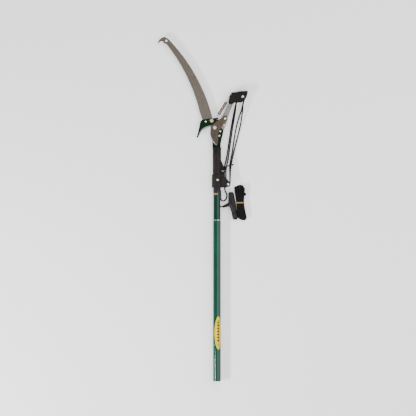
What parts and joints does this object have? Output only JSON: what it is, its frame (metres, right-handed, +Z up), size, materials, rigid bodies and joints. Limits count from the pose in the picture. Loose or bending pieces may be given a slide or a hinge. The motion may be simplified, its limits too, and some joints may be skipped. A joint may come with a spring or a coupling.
{
  "type": "telescoping pole saw with rope pruner",
  "caption": "Two-stage telescoping pole with a curved saw, a rope-operated bypass pruning head, a return spring and a hank of pull rope.",
  "frame": {"origin": "centre of the pole's butt end, on the pole's axis", "axes": "+Y along the pole towards the head, +X to the pulley side, +Z up from the surface that the tool lies on"},
  "size_m": [0.3605, 1.3771, 0.043],
  "materials": {
    "pole_green": "gloss paint",
    "head_green": "gloss paint",
    "black_plastic": "fine moulded grain",
    "liner_plastic": "smooth moulded",
    "lock_plastic": "moulded",
    "blade_steel": "dull ground steel",
    "saw_steel": "dull blued steel",
    "ground_steel": "bright ground edge",
    "zinc_steel": "zinc plated",
    "bright_steel": "bright nickel",
    "yellow_zinc": "yellow zinc plated",
    "spring_steel": "close wound wire",
    "pulley_plastic": "moulded nylon",
    "black_rope": "braided cord",
    "tie_plastic": "moulded nylon",
    "handle_plastic": "moulded",
    "yellow_label": "printed film",
    "dark_tape": "printed film",
    "gold_band": "plain",
    "silver_rim": "bare cut edge"
  },
  "bodies": {
    "head": {"head_socket": "black_plastic", "socket_liner": "liner_plastic", "clamp_bolt": "bright_steel", "inner_tube": "pole_green", "tape_label": "dark_tape", "lock_screw": "lock_plastic", "lock_nut": "zinc_steel", "inner_end_plug": "black_plastic", "hook_body": "head_green", "hook_cutting_edge": "ground_steel", "pivot_bolt": "bright_steel", "pivot_washer": "zinc_steel", "pivot_nut": "zinc_steel", "lever_pivot_rivet": "bright_steel", "blade_stop_pin": "bright_steel", "saw_blade": "saw_steel", "saw_bolt": "yellow_zinc", "saw_nut": "yellow_zinc", "saw_pin": "bright_steel", "lower_axle": "bright_steel", "ear_knot": "black_rope", "cable_tie": "tie_plastic", "tackle_rope_a": "black_rope", "tackle_rope_b": "black_rope", "haul_rope": "black_rope", "pull_handle": "handle_plastic", "rope_hank": "black_rope", "hank_band": "gold_band", "spring_hook": "spring_steel", "return_spring": "spring_steel"},
    "lever": {"lever_bar": "zinc_steel", "lever_housing_front": "black_plastic", "lever_housing_back": "black_plastic", "housing_screw": "zinc_steel", "upper_axle": "bright_steel", "spring_peg": "zinc_steel", "spring_link": "spring_steel"},
    "blade": {"cutting_blade": "blade_steel", "arm_pin": "bright_steel"},
    "upper_sheave_a": {"upper_sheave_a": "pulley_plastic"},
    "upper_sheave_b": {"upper_sheave_b": "pulley_plastic"},
    "lower_sheave_a": {"lower_sheave_a": "pulley_plastic"},
    "lower_sheave_b": {"lower_sheave_b": "pulley_plastic"},
    "twist_lock": {"lock_sleeve": "lock_plastic"},
    "outer_pole": {"outer_tube": "pole_green", "outer_tube_rim": "silver_rim", "oval_label": "yellow_label", "butt_plug": "black_plastic"}
  },
  "joints": [
    {"name": "lever_swing", "type": "hinge", "parent": "head", "child": "lever", "pos_m": [0.0136, 0.9996, 0], "axis": [0, 0, -1], "range_deg": [0, 84], "deforming": ["return_spring", "tackle_rope_a", "tackle_rope_b"]},
    {"name": "blade_swing", "type": "hinge", "parent": "head", "child": "blade", "pos_m": [-0.0088, 1.0142, 0], "axis": [0, 0, -1], "range_deg": [0, 70]},
    {"name": "upper_sheave_a_spin", "type": "hinge", "parent": "lever", "child": "upper_sheave_a", "pos_m": [0.1032, 1.1388, 0], "axis": [0, 0, 1], "continuous": true},
    {"name": "upper_sheave_b_spin", "type": "hinge", "parent": "lever", "child": "upper_sheave_b", "pos_m": [0.1032, 1.1388, 0], "axis": [0, 0, 1], "continuous": true},
    {"name": "lower_sheave_a_spin", "type": "hinge", "parent": "head", "child": "lower_sheave_a", "pos_m": [0.0444, 0.788, 0], "axis": [0, 0, 1], "continuous": true},
    {"name": "lower_sheave_b_spin", "type": "hinge", "parent": "head", "child": "lower_sheave_b", "pos_m": [0.0444, 0.788, 0], "axis": [0, 0, 1], "continuous": true},
    {"name": "pole_twist", "type": "hinge", "parent": "head", "child": "twist_lock", "pos_m": [0, 0.027, 0], "axis": [0, 1, 0], "range_deg": [0, 180]},
    {"name": "pole_extend", "type": "slide", "parent": "twist_lock", "child": "outer_pole", "axis": [0, -1, 0], "range_m": [0, 0.48]}
  ],
  "couplings": [
    {"joint": "blade_swing", "follows": "lever_swing", "ratio": 0.83333}
  ]
}
